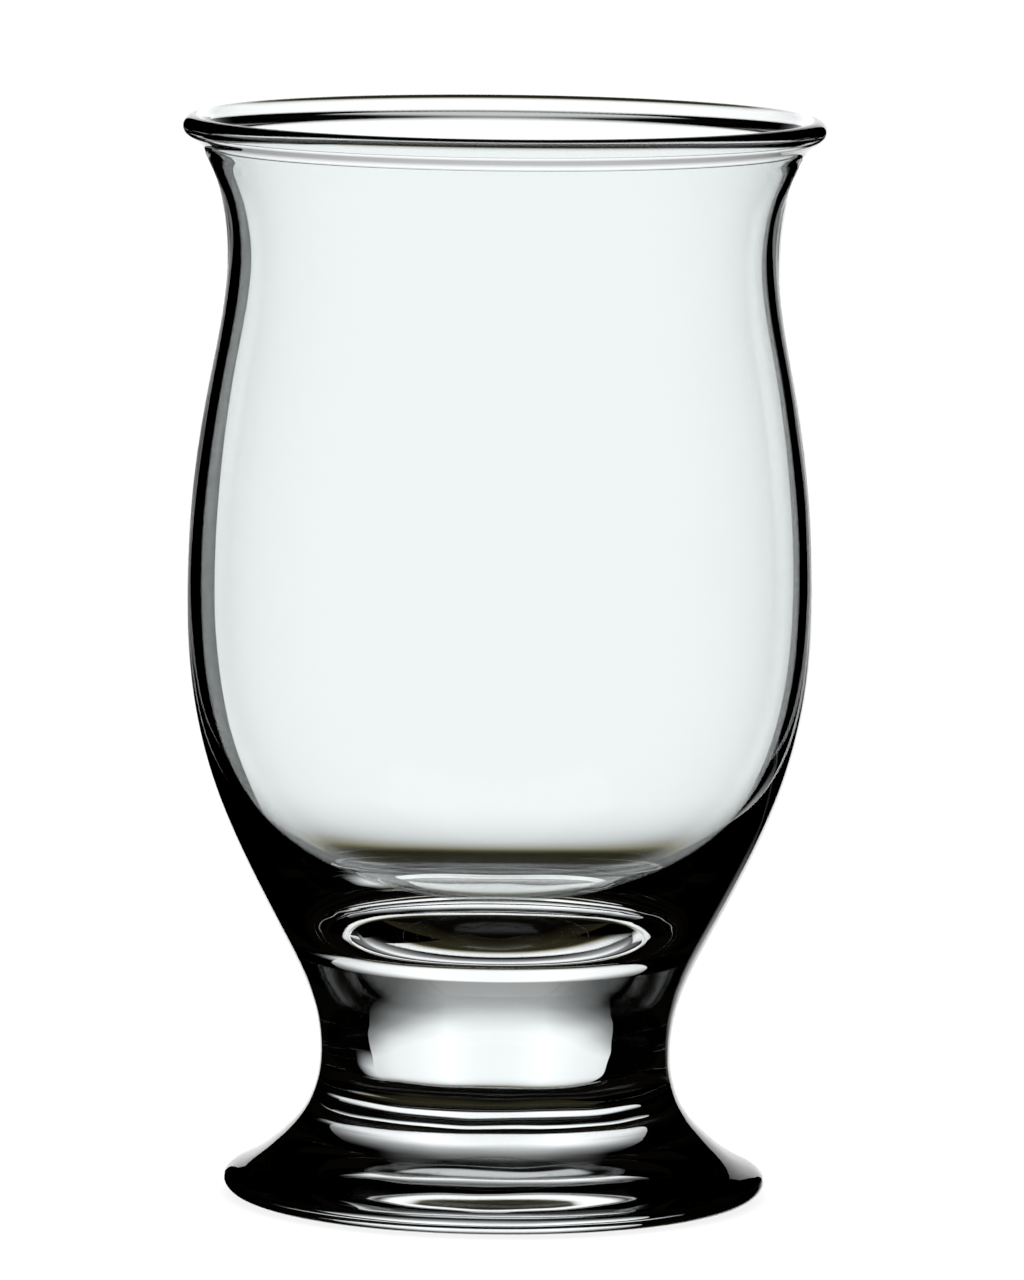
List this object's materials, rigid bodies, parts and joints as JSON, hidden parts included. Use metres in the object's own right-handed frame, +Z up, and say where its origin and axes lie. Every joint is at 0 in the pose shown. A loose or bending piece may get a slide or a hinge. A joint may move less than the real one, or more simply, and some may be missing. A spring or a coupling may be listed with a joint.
{
  "type": "mixing glass",
  "caption": "Footed mixing glass: a thin rounded bowl with a narrow waist and flared rim, on a thick solid stem and a wide round foot.",
  "frame": {"origin": "middle of the circle that the foot stands on", "axes": "+Z up along the axis that the glass is turned about; +X and +Y are level and interchangeable"},
  "size_m": [0.071, 0.071, 0.12],
  "materials": {
    "bowl_glass": "clear, fire-polished",
    "stem_glass": "clear, solid, fire-polished",
    "foot_glass": "clear, solid, fire-polished"
  },
  "bodies": {
    "root": {"bowl": "bowl_glass", "stem": "stem_glass", "foot": "foot_glass"}
  },
  "joints": []
}
